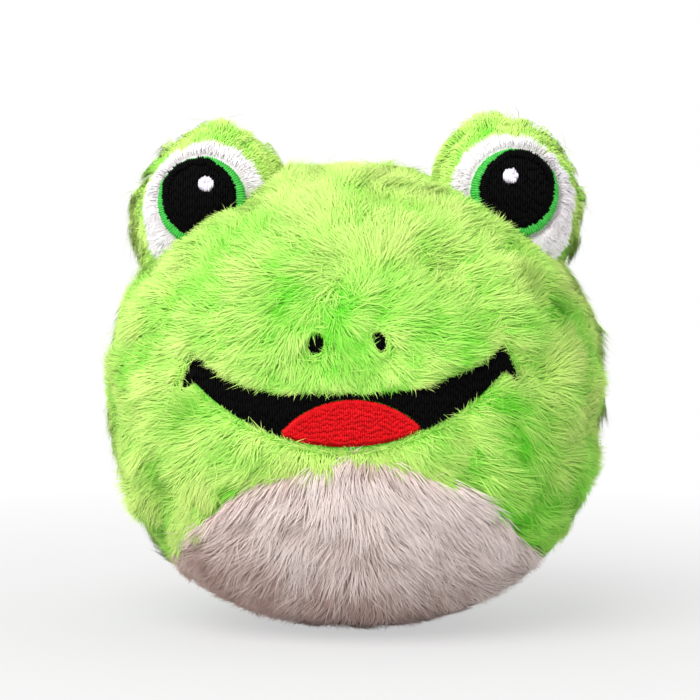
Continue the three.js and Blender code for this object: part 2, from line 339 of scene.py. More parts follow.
class Finish:
    """A material under construction."""

    def __init__(self, name):
        self.material = bpy.data.materials.new(name)
        self.material.use_nodes = True
        self.tree = self.material.node_tree
        self.tree.nodes.clear()

    def node(self, kind, settings=None, sockets=None, output=0):
        """Adds a node. Its stops, if it is a ramp, are (place, colour) pairs."""
        made = self.tree.nodes.new(kind)
        for key, setting in (settings or {}).items():
            if key == "stops":
                ramp = made.color_ramp
                for place, colour in setting[2:]:
                    ramp.elements.new(place)
                for element, (place, colour) in zip(ramp.elements, setting):
                    element.position, element.color = place, (*colour, 1)
            else:
                setattr(made, key, setting)
        for key, value in (sockets or {}).items():
            if isinstance(value, Value):
                self.tree.links.new(value.socket, made.inputs[key])
            else:
                made.inputs[key].default_value = value
        return Value(self, made.outputs[output]) if made.outputs else None

    def surface(self, sockets):
        shader = self.node("ShaderNodeBsdfPrincipled", None, sockets)
        self.node("ShaderNodeOutputMaterial", None, {"Surface": shader})
        return self.material


def srgb(red, green, blue):
    """A colour as it looks on a screen, 0 to 255, as linear light."""
    shares = np.array((red, green, blue)) / 255
    return tuple(np.where(shares <= 0.04045, shares / 12.92, ((shares + 0.055) / 1.055) ** 2.4))


# %% [markdown]
# Pile is coloured along each hair, from a deep root to a light tip, and from hair to hair. The deep root
# is partly the pile's own colour and partly painted shade down in the pile. Each hair carries its own tint
# across the map and its length up the map, so one small square of colour paints every hair, and the
# roots stay dark where tufts part, as painted shade.

# %% Pile
def pile_finish(name, dark, light):
    """dark and light each hold the colour of root, middle and tip."""
    finish = Finish(name)
    place = finish.node("ShaderNodeUVMap", {"uv_map": "OFBake"})
    across, up = (finish.node("ShaderNodeSeparateXYZ", None, {0: place}, output) for output in (0, 1))
    ramps = [finish.node("ShaderNodeValToRGB",
                         {"stops": [(0, root), (1, tip), (0.5, middle)]}, {"Fac": up})
             for root, middle, tip in (dark, light)]
    colour = finish.node("ShaderNodeMix", {"data_type": "RGBA"},
                         {0: across, 6: ramps[0], 7: ramps[1]}, output=2)
    return finish.surface({"Base Color": colour, "Roughness": 0.75, "Specular IOR Level": 0.15})


pile_looks = {
    "green_plush": pile_finish(
        "green pile",
        (srgb(76, 222, 30), srgb(88, 228, 38), srgb(130, 242, 58)),
        (srgb(180, 253, 88), srgb(205, 254, 111), srgb(234, 255, 150))),
    "white_plush": pile_finish(
        "pale pile",
        (srgb(180, 146, 135), srgb(195, 162, 152), srgb(216, 186, 176)),
        (srgb(244, 212, 202), srgb(254, 231, 223), srgb(255, 243, 239))),
    "eye_plush": pile_finish(
        "eye pile",
        (srgb(240, 228, 232), srgb(250, 241, 244), srgb(253, 247, 249)),
        (srgb(250, 243, 246), srgb(255, 251, 253), srgb(255, 253, 255))),
}


# %% [markdown]
# The knitted backing shows only where pile parts. It takes the pile's root colour with a fine knit.

# %% Cloth and filling
def cloth_finish(name, low, high, knit=0.0006, depth=0.3):
    finish = Finish(name)
    place = finish.node("ShaderNodeTexCoord", None, None, 3)
    loops = finish.node("ShaderNodeTexVoronoi", None, {"Vector": place, "Scale": 1 / knit})
    cloud = finish.node("ShaderNodeTexNoise", None, {"Vector": place, "Scale": 300.0})
    colour = finish.node("ShaderNodeValToRGB", {"stops": [(0.3, low), (0.7, high)]}, {"Fac": cloud})
    bump = finish.node("ShaderNodeBump", None,
                       {"Strength": depth, "Distance": knit / 2, "Height": 1 - loops})
    return finish.surface({"Base Color": colour, "Roughness": 0.9, "Normal": bump})


cloth_looks = {
    "green_plush": cloth_finish("green knit backing", srgb(88, 210, 40), srgb(112, 228, 55)),
    "white_plush": cloth_finish("pale knit backing", srgb(195, 172, 165), srgb(212, 190, 184)),
    "eye_plush": cloth_finish("eye knit backing", srgb(246, 236, 240), srgb(252, 244, 247)),
}
fibre = cloth_finish("polyester fibre", srgb(225, 225, 220), srgb(246, 246, 242), 0.002, 0.6)


# %% [markdown]
# Embroidery thread is shiny and twisted. The twist is a fine band across each stitch, raised by bump.

# %% Thread
def thread_finish(name, low, high, shine=0.3):
    finish = Finish(name)
    place = finish.node("ShaderNodeTexCoord", None, None, 3)
    twist = finish.node("ShaderNodeTexWave", {"bands_direction": "DIAGONAL"},
                        {"Vector": place, "Scale": 1400.0, "Distortion": 1.5})
    shade = finish.node("ShaderNodeTexNoise", None, {"Vector": place, "Scale": 900.0})
    mixed = shade * 0.75 + twist * 0.25
    colour = finish.node("ShaderNodeValToRGB", {"stops": [(0.3, low), (0.75, high)]}, {"Fac": mixed})
    bump = finish.node("ShaderNodeBump", None, {"Strength": 0.4, "Distance": 0.00008, "Height": twist})
    return finish.surface({"Base Color": colour, "Roughness": 0.5, "Specular IOR Level": shine,
                           "Normal": bump})


thread_looks = {
    "black_thread": thread_finish("black thread", srgb(2, 2, 2), srgb(8, 8, 9), shine=0.05),
    "red_thread": thread_finish("red thread", srgb(190, 4, 12), srgb(236, 12, 24), shine=0.15),
    "green_thread": thread_finish("green thread", srgb(48, 172, 55), srgb(92, 212, 92)),
    "white_thread": thread_finish("white thread", srgb(226, 216, 236), srgb(250, 244, 255)),
}


# %% [markdown]
# ## Cloth panels
# Under the pile lies knitted cloth, cut in panels and drawn round by the stuffing. A fine sphere is
# pressed onto the form, the faces of one panel are kept, and the corners along its edge are moved onto
# the seam. Solidify then gives the cloth its thickness, so each panel is a closed sheet.

# %% Making a panel
CLOTH_THICKNESS, SEAM_GAP, COVER_FILL = 1.2, 0.3, 0.85
SKIN_INSET, SEWN_INSET, SEWN_REACH = 1.4, 2.2, 1.3


def sunk(near, far, gap):
    """A depth that goes from near, at the stitching, to far, away from it."""
    return far + (near - far) * np.exp(-(np.clip(gap, 0, None) / SEWN_REACH) ** 2)


def skin_depth(points):
    """How deep the ball's cloth lies. Stitching pulls it down."""
    return sunk(SEWN_INSET, SKIN_INSET, to_embroidery(points))


def mesh_from(bm, name):
    """A mesh in metres from an edited one in millimetres, which is then let go."""
    bmesh.ops.scale(bm, vec=(MM,) * 3, verts=bm.verts[:])
    mesh = bpy.data.meshes.new(name)
    bm.to_mesh(mesh)
    bm.free()
    return mesh


def finished(mesh, name, material):
    """A piece of the frog at the origin, smooth, riding on the root body."""
    mesh.shade_smooth()
    mesh.materials.append(material)
    piece = bpy.data.objects.new(name, mesh)
    bpy.context.scene.collection.objects.link(piece)
    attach(piece, "root")
    return piece


def places(verts):
    return np.array([v.co for v in verts])


def move_to(verts, points):
    for vert, point in zip(verts, points):
        vert.co = point


def form_mesh(form, inset, fineness):
    """A closed fine mesh on a stuffed form, in millimetres."""
    bm = bmesh.new()
    bmesh.ops.create_icosphere(bm, subdivisions=fineness, radius=1)
    move_to(bm.verts, form.shell(unit(places(bm.verts)), inset))
    return bm


def to_seam(verts, form, inset, outside):
    """Moves the edge of a panel onto its seam."""
    points, nudge = places(verts), 0.05
    for _ in range(4):
        off = outside(points)
        slope = np.stack([(outside(points + nudge * axis) - off) / nudge for axis in np.eye(3)], 1)
        slope /= np.maximum((slope ** 2).sum(1), 0.5)[:, None]
        points = form.onto(points - slope * off[:, None], inset)
    move_to(verts, points)


def cloth_panel(node, form, inset, relief, fineness, outside, slot):
    """The cloth of one node: the part of a form where outside is negative, laid at the relief's depth."""
    bm = form_mesh(form, inset, fineness)
    bm.faces.ensure_lookup_table()
    middles = np.array([f.calc_center_median() for f in bm.faces])
    off = outside(middles)
    bmesh.ops.delete(bm, geom=[f for f, gap in zip(bm.faces, off) if gap > 0], context="FACES")
    edge = {v for e in bm.edges if e.is_boundary for v in e.verts}
    to_seam(list(edge), form, inset, lambda points: outside(points) + SEAM_GAP / 2)
    points = places(bm.verts)
    move_to(bm.verts, form.onto(points, relief(points)))
    bmesh.ops.solidify(bm, geom=bm.faces[:], thickness=CLOTH_THICKNESS)
    bmesh.ops.recalc_face_normals(bm, faces=bm.faces[:])
    piece = finished(mesh_from(bm, f"{node}_cloth"), f"{node}_cloth", cloth_looks[slot])
    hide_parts(node)
    print(f"{piece.name}: {len(piece.data.polygons)} faces")


# %% The ball's four panels
BALL_FINENESS, MOUND_FINENESS = 6, 5
for node, outside, slot in (
        ("face_panel", to_face_panel, "green_plush"),
        ("left_back_panel", to_back_panel(1), "green_plush"),
        ("right_back_panel", to_back_panel(-1), "green_plush"),
        ("belly_panel", to_belly, "white_plush")):
    cloth_panel(node, ball, SKIN_INSET, skin_depth, BALL_FINENESS, outside, slot)

# %% [markdown]
# Each mound is a cap with a pale patch let into its front. Both end where they meet the ball.

# %% The eye mounds' cloth
MOUND_INSET, PATCH_INSET, PATCH_SEWN_INSET, SUNK = 2.5, 1.7, 2.4, 1.0


def patch_depth(name):
    """How deep the white patch's cloth lies."""
    return lambda points: sunk(PATCH_SEWN_INSET, PATCH_INSET, from_edge(eye_rims[name], points[:, [0, 2]]))


def mound_depth(points):
    return np.full(len(points), MOUND_INSET)


def beyond_ball(points):
    return ball.depth(points) - SKIN_INSET - SUNK


def to_mound(name):
    return lambda points: np.maximum(-to_patch(name)(points), beyond_ball(points))


def to_eye_white(name):
    return lambda points: np.maximum(to_patch(name)(points), beyond_ball(points))


for name in SIDES:
    cloth_panel(f"{name}_eye_mound", mounds[name], MOUND_INSET, mound_depth, MOUND_FINENESS,
                to_mound(name), "green_plush")
    cloth_panel(f"{name}_eye_white", mounds[name], PATCH_INSET, patch_depth(name), MOUND_FINENESS,
                to_eye_white(name), "eye_plush")

# %% [markdown]
# ## Combing the pile
# Pile has a lie, and on this frog it swirls: from the middle of the forehead it fans out to the eyes
# and cheeks, falls over the lip, and runs down and outwards under the mouth. A few comb strokes say
# where it goes, and every hair takes a mean of the strokes near it, laid flat on the surface.

# %% Comb strokes
# Each stroke is a place in the front view, the way the pile lies there, and how far it lies over.
FRONT_STROKES = (
    (-5, 77, -0.1, 0.3, 1, 0.72), (8, 80, 0.5, 0.4, 0.8, 0.75), (-14, 78, -0.5, 0.3, 0.85, 0.75),
    (-23, 70, -0.8, 0.3, 0.6, 0.8), (16, 72, 0.75, 0.2, 0.65, 0.8), (26, 67, 0.85, 0.3, 0.5, 0.85),
    (-12, 69, -0.9, 0.1, 0.3, 0.72), (4, 70, 0.8, 0.1, 0.5, 0.7), (13, 64, 0.85, 0.1, 0.5, 0.75),
    (-34, 60, -0.95, 0.4, 0.2, 0.9), (-43, 50, -0.9, 0.7, 0, 0.93), (-40, 36, -0.9, 0.4, -0.4, 0.95),
    (38, 58, 0.95, 0.4, 0.1, 0.93), (43, 46, 0.95, 0.6, -0.2, 0.95), (40, 33, 0.85, 0.4, -0.5, 0.97),
    (-8, 62, -0.5, 0, -0.8, 0.7), (2, 62, 0.45, 0, -0.9, 0.7), (-14, 55, -0.55, 0, -0.7, 0.75),
    (-1, 54, 0.1, 0, -1, 0.75), (11, 55, 0.5, 0, -0.75, 0.75), (-24, 57, -0.85, 0.1, -0.3, 0.8),
    (23, 58, 0.9, 0.1, -0.1, 0.82), (-12, 36, -0.9, 0, -0.45, 0.8), (0, 36.5, 0, 0, -1, 0.72),
    (12, 36, 0.85, 0, -0.5, 0.8), (-22, 32, -0.85, 0.1, -0.55, 0.95), (22, 32, 0.8, 0.1, -0.6, 0.95),
    (-28, 40, -0.9, 0.1, -0.4, 0.88), (28, 40, 0.9, 0.1, -0.4, 0.88), (-33, 22, -0.65, 0.2, -0.7, 1),
    (33, 22, 0.7, 0.2, -0.7, 1), (0, 27, 0, 0, -1, 0.95), (-12, 24, -0.75, 0, -0.65, 0.95),
    (12, 24, 0.6, 0, -0.7, 0.95), (-10, 14, -0.25, 0.2, -0.9, 1), (10, 14, 0.3, 0.2, -0.9, 1),
    (-10, 5, -0.2, 0.6, -0.6, 0.95), (10, 5, 0.6, 0.5, -0.4, 0.95), (-24, 12, -0.6, 0.4, -0.6, 0.97),
    (24, 12, 0.7, 0.4, -0.5, 0.97),
)
BACK_STROKES = (
    (0, 88, 0.1, 0.9, -0.4, 0.7), (-20, 84, -0.2, 0.8, -0.5, 0.8), (20, 84, 0.2, 0.8, -0.5, 0.8),
    (0, 70, 0, 0.2, -1, 0.9), (-30, 66, -0.2, 0.3, -0.9, 0.9), (30, 66, 0.2, 0.3, -0.9, 0.9),
    (-40, 45, -0.1, 0.3, -0.9, 0.95), (40, 45, 0.1, 0.3, -0.9, 0.95), (0, 46, 0, 0, -1, 1.0),
    (-20, 46, 0, 0, -1, 1.0), (20, 46, 0, 0, -1, 1.0), (-20, 20, 0, -0.2, -1, 1.0),
    (20, 20, 0, -0.2, -1, 1.0), (0, 14, 0, -0.4, -0.9, 0.9), (0, 3, 0, -0.2, -0.3, 0.7),
)
STROKE_SPREAD = 9.0


def stroke_places(strokes, side):
    rows = np.array(strokes, float)
    return ball.front(rows[:, :2], side=side), unit(rows[:, 2:5]), rows[:, 5]


stroke_at, stroke_way, stroke_lie = (
    np.concatenate(pair) for pair in zip(stroke_places(FRONT_STROKES, -1), stroke_places(BACK_STROKES, 1)))


SWIRL_TURN, SWIRL_SIZE = math.radians(65), 12.0
swirl_at = ball.front(np.array([(-5.0, 69.0)]))[0]


def turned(ways, normals, angle):
    """The ways turned about the normals."""
    return ways * np.cos(angle)[:, None] + np.cross(normals, ways) * np.sin(angle)[:, None]


def flat_on(ways, normals):
    """The ways laid flat on the surface."""
    return unit(ways - (ways * normals).sum(1, keepdims=True) * normals)


def stroke_weights(points):
    gap = ((points[:, None, :] - stroke_at) ** 2).sum(-1)
    weight = np.exp(-gap / (2 * STROKE_SPREAD ** 2)) + 0.01 / (1 + gap)
    return weight / weight.sum(1, keepdims=True)


def comb_ball(points, normals):
    """The way the ball's pile lies, with its swirl on the forehead."""
    ways = flat_on(stroke_weights(points) @ stroke_way, normals)
    away = np.linalg.norm(points - swirl_at, axis=1)
    return turned(ways, normals, SWIRL_TURN * np.exp(-(away / SWIRL_SIZE) ** 2))


def comb_from(place, backwards=0.0):
    """Pile that fans out from a place of the front view, and falls down behind."""
    def comb(points, normals):
        away = points - (place[0], 0, place[1])
        away[:, 1] = 0
        front = np.clip(0.4 - normals[:, 1:2], 0, 1)
        return flat_on(unit(away) * front + (0, backwards, 0) + (1 - front) * (0, 0, -0.6), normals)
    return comb


# %% [markdown]
# Waves without a pattern come from a sum of sines in random directions. They bend the lie of the pile
# and raise and sink it in tufts.

# %% Soft noise
def waves(size, count=14):
    """A smooth noise over space, about one tall each way, whose bumps are about the given size."""
    ways = unit(chance.normal(size=(count, 3))) * 2 * math.pi / size
    ways *= chance.uniform(0.7, 1.4, (count, 1))
    phases = chance.uniform(0, 2 * math.pi, count)
    return lambda points: np.sin(points @ ways.T + phases).sum(1) * math.sqrt(2 / count)


def shared_out(count):
    """Directions spread evenly over a ball, each shaken a little."""
    i = np.arange(count) + 0.5
    level, turn = 1 - 2 * i / count, i * math.pi * (1 + math.sqrt(5))
    flat = np.sqrt(1 - level ** 2)
    ways = np.stack([flat * np.cos(turn), flat * np.sin(turn), level], 1)
    return unit(ways + chance.normal(size=ways.shape) * 0.45 * math.sqrt(4 * math.pi / count))


# %% [markdown]
# ## Planting the pile
# One hair is a slim three-sided spindle: a cone whose base is poked and drawn down to the root, so
# it can bend at its middle. It is made once, and numpy plants thousands of copies: each goes from its
# root, up through its middle and over to its tip. Hairs of one tuft lean to a common tip, which is
# what makes plush look tufted.

# %% One hair
HAIR_BEND, HAIR_FLATNESS = 0.5, 0.45


def as_arrays(bm):
    """The corners and faces of an edited mesh of triangles, which is then let go."""
    bm.verts.index_update()
    corners = places(bm.verts)
    faces = np.array([[v.index for v in f.verts] for f in bm.faces])
    bm.free()
    return corners, faces


def hair_template():
    bm = bmesh.new()
    bmesh.ops.create_cone(bm, cap_ends=True, segments=3, radius1=1, radius2=0, depth=1 - HAIR_BEND)
    bmesh.ops.translate(bm, vec=(0, 0, (1 + HAIR_BEND) / 2), verts=bm.verts[:])
    base = min(bm.faces, key=lambda face: face.calc_center_median().z)
    poked = bmesh.ops.poke(bm, faces=[base])
    bmesh.ops.translate(bm, vec=(0, 0, -HAIR_BEND), verts=poked["verts"])
    bmesh.ops.scale(bm, vec=(1, -HAIR_FLATNESS, 1), verts=bm.verts[:])
    bmesh.ops.recalc_face_normals(bm, faces=bm.faces[:])
    return as_arrays(bm)


hair_corners, hair_faces = hair_template()
print("one hair:", len(hair_corners), "corners,", len(hair_faces), "faces")


# %% Meshes from many copies
def mesh_of(name, points, faces, uv=None):
    """A mesh in metres from points in millimetres."""
    mesh = bpy.data.meshes.new(name)
    mesh.vertices.add(len(points))
    mesh.vertices.foreach_set("co", (points * MM).astype(np.float32).ravel())
    mesh.loops.add(faces.size)
    mesh.loops.foreach_set("vertex_index", faces.astype(np.int32).ravel())
    mesh.polygons.add(len(faces))
    mesh.polygons.foreach_set("loop_start", np.arange(0, faces.size, 3, dtype=np.int32))
    mesh.update(calc_edges=True)
    if uv is not None:
        layer = mesh.uv_layers.new(name="OFBake")
        layer.uv.foreach_set("vector", uv[faces.ravel()].astype(np.float32).ravel())
    return mesh


# %% Bending copies of the hair
NORMAL_BLEND, FLOOR_CLEARANCE, STRIP_WIDTH = 0.96, 0.2, 0.006


def fringe_light(normals):
    """Light soaks through the thin fringe around the outline, so its shading leans forwards."""
    lean = 0.7 * np.exp(-((normals[:, 1] - 0.2) / 0.3) ** 2) * np.clip(1 + 1.5 * normals[:, 2], 0, 1)
    return lean[:, None] * (0, -1, 0)


def copies(corners_of_one, faces_of_one, count):
    shift = np.arange(count)[:, None, None] * len(corners_of_one)
    return (faces_of_one[None] + shift).reshape(-1, 3)


def hairs(name, roots, middles, tips, normals, width, tint, slot):
    """Plants one hair for each root. On its map a hair is a narrow upright strip at its own tint."""
    count = len(roots)
    level = hair_corners[:, 2]
    spine = np.where(level[:, None, None] < 0.01, roots,
                     np.where(level[:, None, None] > 0.99, tips, middles)).transpose(1, 0, 2)
    along = unit(tips - middles)
    side = unit(np.cross(normals, along))
    up = np.cross(along, side)
    ring = (hair_corners[None, :, 0, None] * side[:, None, :]
            + hair_corners[None, :, 1, None] * up[:, None, :])
    points = spine + ring * width[:, None, None]
    points[..., 2] = np.maximum(points[..., 2], FLOOR_CLEARANCE * (1.2 + hair_corners[None, :, 0]))
    turn = np.arctan2(hair_corners[:, 1], hair_corners[:, 0]) / (2 * math.pi) + 0.5
    u = tint[:, None] * (1 - STRIP_WIDTH) + STRIP_WIDTH * turn[None, :]
    v = level[None, :] * 0.96 + 0.02 * (1 + np.sin(turn * 2 * math.pi))[None, :]
    uv = np.stack([u, np.repeat(v, count, 0)], -1).reshape(-1, 2)
    mesh = mesh_of(name, points.reshape(-1, 3), copies(hair_corners, hair_faces, count), np.clip(uv, 0, 1))
    finished(mesh, name, pile_looks[slot])
    lean = unit(tips - roots)
    upper_side = unit(normals - (normals * lean).sum(1, keepdims=True) * lean) + 0.8 * normals
    upper_side = unit(unit(upper_side) + fringe_light(normals))
    soft = unit(upper_side[:, None, :] * NORMAL_BLEND + ring * (1 - NORMAL_BLEND)).reshape(-1, 3)
    mesh.normals_split_custom_set_from_vertices(soft)
    print(f"{name}: {count} hairs, {len(mesh.polygons)} faces")


# %% Tufts
class Pile:
    """How one kind of pile grows, in millimetres. Tufts are small, and locks are what shows from afar."""

    def __init__(self, length, height, width, tuft=1.4, pull=0.15, lock=5.0, lock_pull=0.45, unruly=0.3,
                 strays=0.03, shade=0.16):
        self.length, self.height, self.width, self.strays, self.shade = length, height, width, strays, shade
        self.tuft, self.pull, self.lock, self.lock_pull, self.unruly = tuft, pull, lock, lock_pull, unruly
        self.swell, self.sway, self.drift = waves(lock), waves(lock * 1.3), waves(lock * 3)


def tuft_of(points, spacing):
    """The number of the tuft that each point belongs to."""
    centres = ball.shell(shared_out(int(4 * math.pi * 43 ** 2 / spacing ** 2)), SKIN_INSET)
    tree = KDTree(len(centres))
    for i, centre in enumerate(centres):
        tree.insert(centre, i)
    tree.balance()
    return np.array([tree.find(point)[1] for point in points])


def mean_of(groups, rows):
    """For each row, the mean of the rows in its group."""
    size = np.bincount(groups)
    sums = np.stack([np.bincount(groups, weights=column) for column in rows.T], 1)
    return (sums / np.maximum(size, 1)[:, None])[groups]


ROOT_DEPTH, LOCK_STRETCH, LOCK_BLUR = 0.15, 0.6, 0.18
PRESSED, UNPRESSED_HEIGHT = 0.3, 16
BEND_ALONG, BEND_UP, BEND_PULL, ACROSS = 0.42, 0.82, 0.3, 0.7


def grow(roots, normals, ways, pile, lie, shorten, tint, spiky):
    """The middle and the tip of each hair, its width and its tint. Where pile lies down it parts in locks.

    Locks are drawn out along the pile. lie says how far the pile lies over, shorten what share of a hair's
    length stays, and spiky how unlike in height the tufts are, and how drawn together.
    """
    count = len(roots)
    blur = (ways * chance.normal(size=(count, 1)) * LOCK_STRETCH
            + chance.normal(size=roots.shape) * LOCK_BLUR)
    tufts, locks = tuft_of(roots, pile.tuft), tuft_of(roots + blur * pile.lock, pile.lock)
    tuft_chance = chance.normal(size=(tufts.max() + 1, 3))[tufts]
    lock_chance = chance.normal(size=(locks.max() + 1, 3))[locks]
    swell = pile.swell(roots)
    stray = chance.random(count) < pile.strays
    angle = (pile.unruly * (0.45 * pile.sway(roots) + 0.5 * pile.drift(roots)
                            + 0.25 * tuft_chance[:, 0] + 0.5 * lock_chance[:, 0])
             + (0.12 + 0.9 * (1 - lie) + 0.7 * stray) * chance.normal(size=count))
    ways = turned(ways, normals, angle)
    ahead = ((roots - mean_of(locks, roots)) * mean_of(locks, ways)).sum(1) / (pile.lock / 2)
    ahead = np.clip(ahead, -1.3, 1.3) * lie
    stretch = (1 + 0.08 * swell + 0.12 * ahead + 0.08 * tuft_chance[:, 1]
               + 0.1 * lock_chance[:, 1] + 0.1 * chance.normal(size=count))
    long = lie * pile.length * np.clip(stretch, 0.45, 1.5)
    rise = (1 + 0.16 * swell + pile.shade * ahead + spiky * tuft_chance[:, 2]
            + 0.7 * pile.shade * lie * lock_chance[:, 2]
            + 0.06 * chance.normal(size=count) + 0.2 * stray)
    high = pile.height * np.clip(rise, 0.4, 1.8)
    high *= np.clip(PRESSED + roots[:, 2] / UNPRESSED_HEIGHT, 0, 1)
    share, cling = shorten(roots, normals, ways, long)
    long, high = long * share, high * (1 - cling + cling * share)
    tips = roots + ways * long[:, None] + normals * high[:, None]
    middles = roots + ways * (BEND_ALONG * long)[:, None] + normals * (BEND_UP * high)[:, None]
    share = np.clip(long / pile.length, 0, 1)[:, None] * ~stray[:, None]
    for groups, pull in ((tufts, pile.pull + spiky), (locks, pile.lock_pull * lie ** 2)):
        pull = (pull + np.zeros(count))[:, None] * share
        together = mean_of(groups, tips) - tips
        tips = tips + (together - ACROSS * (together * ways).sum(1, keepdims=True) * ways) * pull
        middles = middles + (mean_of(groups, middles) - middles) * pull * BEND_PULL
    width = pile.width * chance.uniform(0.75, 1.2, count) * np.where(stray, 0.75, 1)
    # Painted light and shade in the tint: pile is paler where it swells and towards the front of a lock,
    # whose tips stand up into the light, and darker where it sinks and at the back of a lock, in the shade
    # under the tips of the lock before it.
    tint = (tint + 0.14 * swell + 0.13 * pile.drift(roots)
            + pile.shade * (ahead + 0.5 * lock_chance[:, 1])
            + 0.05 * tuft_chance[:, 1] + 0.06 * chance.normal(size=count) + 0.2 * stray)
    return middles, tips, width, np.clip(tint, 0, 1)


def planted(form, relief, density, outside):
    """Roots and normals over the part of a form that is inside a shape."""
    mean_half = (form.half_width + form.half_depth + (form.rise + form.drop) / 2) / 3
    roots = form.shell(shared_out(int(density * 4 * math.pi * mean_half ** 2)))
    roots = roots[outside(roots) < 0]
    roots = form.onto(roots, relief(roots) + ROOT_DEPTH)
    return roots, form.outward(roots)


# %% [markdown]
# The green pile of the ball is long. It is trimmed where it would lie over the embroidery, apart from
# a few stray hairs, as on the real toy. Each piece of pile stays below 200,000 triangles, so the face
# panel's pile is parted into six pieces.

# %% The ball's green pile
BALL_PILE = Pile(6.8, 1.6, 0.075, pull=0.03, lock_pull=0.25, shade=0.22)
BELLY_PILE = Pile(7.0, 1.8, 0.07, pull=0.1, lock=4.2, lock_pull=0.2, strays=0.015, shade=0.34)
FRONT_DENSITY, BACK_DENSITY, BELLY_DENSITY = 11.5, 6.0, 10.5


def by_small_shape(points):
    """1 beside a nostril or a corner of the mouth, which a few hairs would hide, 0 elsewhere."""
    spots = to_face(points)
    gap = np.linalg.norm(np.abs(spots) - (NOSTRIL_SPACING / 2, NOSTRIL_RISE), axis=1)
    return ((gap < 4.5) | (np.abs(spots[:, 0]) > 25)) & (points[:, 1] < 0)


def off_the_embroidery(roots, normals, ways, long):
    """The share of each hair's length that keeps it off the embroidery, and of its height's shrinking."""
    share = np.clip(0.55 + to_embroidery(roots) / 6, 0.25, 1)
    stray = chance.exponential(0.3, len(roots)) - 0.1
    stray += chance.exponential(0.9, len(roots)) * (chance.random(len(roots)) < 0.03)
    stray *= 1 - 0.6 * by_small_shape(roots)
    for part in (1, 0.8, 0.6, 0.4, 1):
        over = -to_embroidery(roots + ways * (long * share * part)[:, None]) - stray
        share = np.where(over > 0, np.clip(share * part - over / long, 0.12, 1), share)
    return share, 0.3 + 0.5 * (abs(roots[:, 0]) > 25)


EDGE_REACH, EDGE_SHARE, EDGE_FULLNESS = 1.5, 0.4, 2.5
SEAM_SHAG, BACK_SHAG, SHAG_REACH, MEAN_TINT = 0.4, 0.08, 4, 0.56


def over_the_edge(roots, normals, ways):
    """Beside the embroidery some hairs turn towards it, so the edge looks grown over."""
    near = np.flatnonzero(to_embroidery(roots) < EDGE_REACH)
    near = near[chance.random(len(near)) < EDGE_SHARE]
    some, nudge = roots[near], 0.1
    slope = np.stack([to_embroidery(some + step) - to_embroidery(some - step)
                      for step in np.eye(3) * nudge], 1)
    ways = ways.copy()
    ways[near] = flat_on(unit(-slope + 1e-6) + 0.5 * chance.normal(size=some.shape), normals[near])
    return ways


def parted(roots, normals, ways):
    """At the middle of the swirl the pile has no lie."""
    away = np.linalg.norm(roots - swirl_at, axis=1)
    return turned(ways, normals, 1.2 * np.exp(-(away / 5) ** 2) * chance.normal(size=len(roots)))


def clear_of_mounds(points):
    """Positive under an eye mound."""
    return np.maximum.reduce([mound.depth(points) - MOUND_INSET for mound in mounds.values()])


def ball_pile(name, density, outside, parting, pile=BALL_PILE, slot="green_plush",
              tint=lambda roots: MEAN_TINT, lifted=lambda roots, normals: normals, shag=SEAM_SHAG):
    """Pile on the ball, in one piece for each named part."""
    roots, normals = planted(ball, skin_depth, density * EDGE_FULLNESS,
                             lambda p: np.maximum(outside(p), clear_of_mounds(p)))
    gap = to_embroidery(roots)
    room = (gap > 0.02 + 0.15 * by_small_shape(roots)) & (
        (gap < EDGE_REACH) | (chance.random(len(roots)) < 1 / EDGE_FULLNESS))
    roots, normals = roots[room], lifted(roots[room], normals[room])
    ways = over_the_edge(roots, normals, parted(roots, normals, comb_ball(roots, normals)))
    lie = stroke_weights(roots) @ stroke_lie
    spiky = 0.05 + shag * np.exp(-(outside(roots) / SHAG_REACH) ** 2)
    middles, tips, width, tints = grow(
        roots, normals, ways, pile, lie, off_the_embroidery, tint(roots), spiky)
    for part, of_part in parting(roots).items():
        hairs(f"{name}_{part}", roots[of_part], middles[of_part], tips[of_part],
              normals[of_part], width[of_part], tints[of_part], slot)


BROW_LEVEL, CHIN_LEVEL, BACK_LEVEL, BELLY_FRONT = 66, 38, 52, -14


def face_parts(roots):
    left, height = roots[:, 0] > 0, roots[:, 2]
    brow, chin = height > BROW_LEVEL, height <= CHIN_LEVEL
    return {f"{level}_{side}": within & of_side
            for level, within in (("brow", brow), ("cheek", ~brow & ~chin), ("chin", chin))
            for side, of_side in (("left", left), ("right", ~left))}


def back_parts(roots):
    high = roots[:, 2] > BACK_LEVEL
    return {"high": high, "low": ~high}


def belly_parts(roots):
    front = roots[:, 1] < BELLY_FRONT
    return {"front": front, "under": ~front}


BELLY_BULGE, BULGE_REACH, PUFF, PUFF_SIZE = 0.35, 9.0, 0.14, 13
puffs = [waves(PUFF_SIZE) for _ in range(3)]


def puffed(roots, normals):
    """Stuffing is never quite even, so the pile of the face leans this way and that with it."""
    return unit(normals + PUFF * np.stack([puff(roots) for puff in puffs], 1))


def bulging(roots, normals):
    """Under the chin the belly swells, so its pile stands up more there."""
    swell = BELLY_BULGE * np.exp(to_belly(roots) / BULGE_REACH) * np.clip((roots[:, 2] - 16) / 8, 0, 1)
    return unit(normals + swell[:, None] * (0, 0, 1))


def belly_painted_light_and_shade(roots):
    """Painted light and shade on the belly's pile: paler under the chin, where light falls on it, and
    darker towards the bottom, in the shade of the ball's underside. It is also darker on the frog's right
    and a little paler on its left.
    """
    right, left = np.clip(-(roots[:, 0] + 6) / 14, 0, 1), np.clip((roots[:, 0] - 8) / 12, 0, 1)
    return 0.95 * np.clip((roots[:, 2] - 4) / 24, 0, 1) ** 1.8 - 0.6 * right + 0.15 * left
